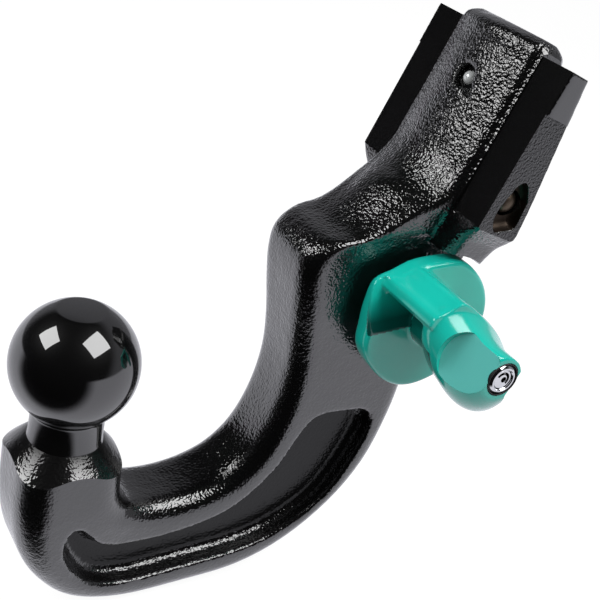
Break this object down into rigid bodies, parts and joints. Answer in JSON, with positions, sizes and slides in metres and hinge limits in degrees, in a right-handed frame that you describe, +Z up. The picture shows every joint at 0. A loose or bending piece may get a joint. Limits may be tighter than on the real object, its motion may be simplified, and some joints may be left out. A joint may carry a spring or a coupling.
{
  "type": "tow ball",
  "caption": "Detachable tow ball: glossy black forged swan neck with a wedge head that slides up into a receiver, locking balls in its sides and a lobed teal handwheel with a key lock.",
  "frame": {"origin": "centre of the coupling ball", "axes": "+Z up the ball's stud, +X towards the vehicle's rear, +Y towards the side with the handwheel"},
  "size_m": [0.2005, 0.1231, 0.2547],
  "materials": {
    "black_paint": "high-gloss black paint over forged steel",
    "machined_steel": "fine turned and ground steel",
    "spring_steel": "drawn spring wire",
    "bearing_bronze": "sintered bronze",
    "chrome": "bright chrome plating",
    "black_rubber": "smooth black rubber",
    "teal_plastic": "glossy moulded teal plastic"
  },
  "bodies": {
    "bar": {"swan_neck": "black_paint", "shaft_bush_near": "bearing_bronze", "shaft_bush_far": "bearing_bronze", "shaft_seal": "black_rubber", "shaft_end_cap": "black_paint", "plunger_plug": "black_paint", "plunger_spring": "spring_steel", "trigger_sleeve": "machined_steel"},
    "shaft": {"drive_shaft": "machined_steel", "cam_disc": "machined_steel", "cam_key": "machined_steel", "shaft_circlip": "machined_steel", "drive_pin": "machined_steel", "handwheel_spring": "spring_steel"},
    "wheel": {"handwheel": "teal_plastic", "spring_seat": "machined_steel", "lock_seal_ring": "black_rubber", "lock_housing": "chrome"},
    "rotor": {"key_rotor": "chrome", "keyway_shutter": "machined_steel"},
    "bolt": {"lock_bolt": "machined_steel"},
    "plunger": {"plunger": "machined_steel"},
    "near_lock": {"locking_ball_near": "chrome", "thrust_pin_near": "machined_steel"},
    "far_lock": {"locking_ball_far": "chrome", "thrust_pin_far": "machined_steel"},
    "trigger": {"trigger_pin": "chrome", "trigger_spring": "spring_steel"}
  },
  "joints": [
    {"name": "handwheel_turn", "type": "hinge", "parent": "bar", "child": "shaft", "pos_m": [-0.1383, 0, 0.0266], "axis": [0, 1, 0], "range_deg": [0, 80]},
    {"name": "handwheel_slide", "type": "slide", "parent": "shaft", "child": "wheel", "axis": [0, -1, 0], "range_m": [0, 0.0045]},
    {"name": "key_turn", "type": "hinge", "parent": "wheel", "child": "rotor", "pos_m": [-0.1383, 0, 0.0266], "axis": [0, 1, 0], "range_deg": [0, 90]},
    {"name": "lock_bolt_slide", "type": "slide", "parent": "wheel", "child": "bolt", "axis": [-1, 0, 0], "range_m": [0, 0.003]},
    {"name": "plunger_slide", "type": "slide", "parent": "bar", "child": "plunger", "axis": [-0.2681, 0, 0.9634], "range_m": [0, 0.0036], "deforming": ["plunger_spring"]},
    {"name": "near_ball_slide", "type": "slide", "parent": "bar", "child": "near_lock", "axis": [0, 1, 0], "range_m": [0, 0.0036]},
    {"name": "far_ball_slide", "type": "slide", "parent": "bar", "child": "far_lock", "axis": [0, -1, 0], "range_m": [0, 0.0036]},
    {"name": "trigger_push", "type": "slide", "parent": "bar", "child": "trigger", "axis": [-0.9449, 0, -0.3272], "range_m": [0, 0.002], "stiffness_N_per_m": 1200, "springref_m": -0.001}
  ],
  "couplings": [
    {"joint": "plunger_slide", "follows": "handwheel_turn", "m_per_rad": 0.002578},
    {"joint": "near_ball_slide", "follows": "handwheel_turn", "m_per_rad": 0.002578},
    {"joint": "far_ball_slide", "follows": "handwheel_turn", "m_per_rad": 0.002578},
    {"joint": "lock_bolt_slide", "follows": "key_turn", "m_per_rad": 0.001909}
  ]
}
